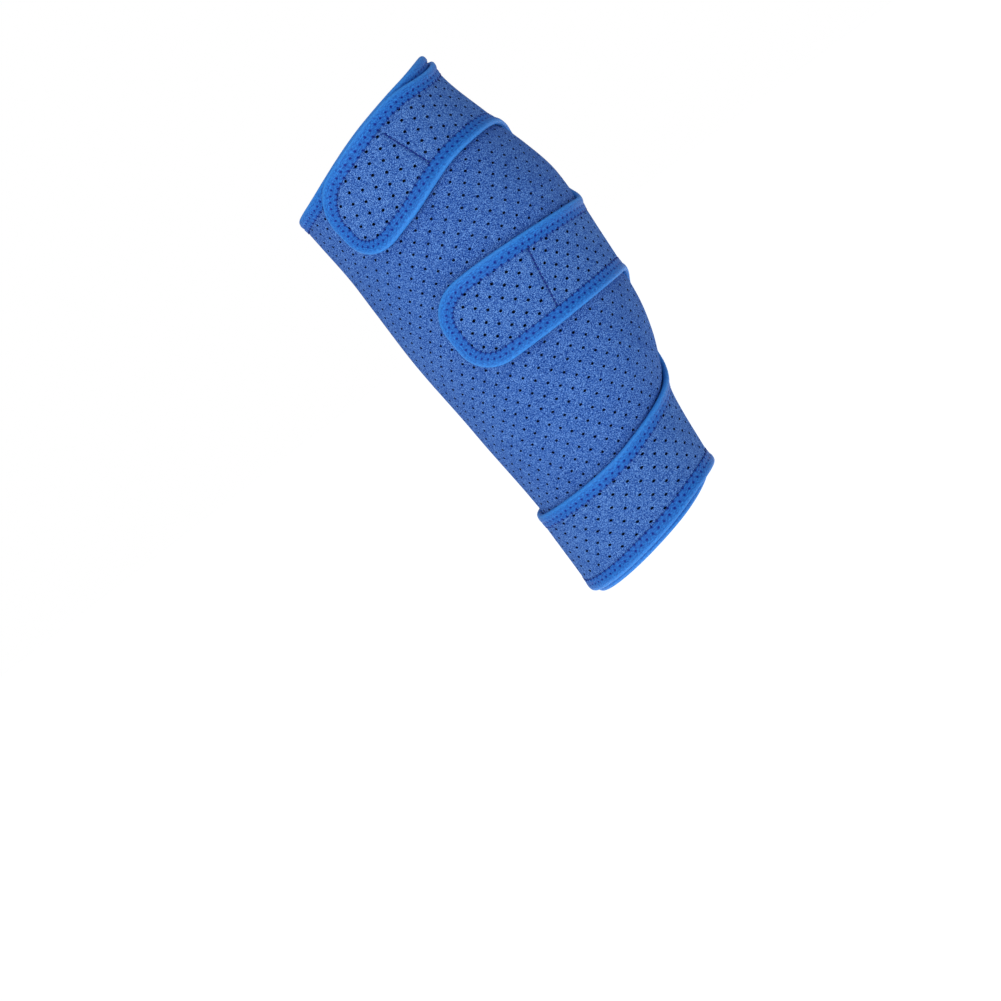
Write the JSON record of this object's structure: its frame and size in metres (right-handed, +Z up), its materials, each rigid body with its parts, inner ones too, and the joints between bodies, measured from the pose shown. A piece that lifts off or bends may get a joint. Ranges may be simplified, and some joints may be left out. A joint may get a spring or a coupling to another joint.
{
  "type": "calf compression wrap",
  "caption": "Perforated neoprene calf compression wrap, closed as worn on a left leg, with hook straps whose rounded tongues lie on its outer side.",
  "frame": {"origin": "on the leg's axis, at the middle of the lower opening, where the wrap sits on the leg", "axes": "+Z runs up the leg to the knee, +X to the calf, -X to the shin, -Y to the outer side of the leg where the tongues lie"},
  "size_m": [0.1388, 0.125, 0.3067],
  "materials": {
    "neoprene": "matt brushed loop pile on perforated neoprene",
    "strap_neoprene": "matt brushed loop pile on perforated neoprene",
    "binding_tape": "satin knitted tape with zigzag stitching",
    "hook_tape": "moulded hooks on woven tape"
  },
  "bodies": {
    "root": {"wrap_panel": "neoprene", "lower_strap": "strap_neoprene", "middle_strap": "strap_neoprene", "top_strap": "strap_neoprene", "edge_binding": "binding_tape", "lower_hook_patch": "hook_tape", "middle_hook_patch": "hook_tape", "top_hook_patch": "hook_tape"}
  },
  "joints": []
}
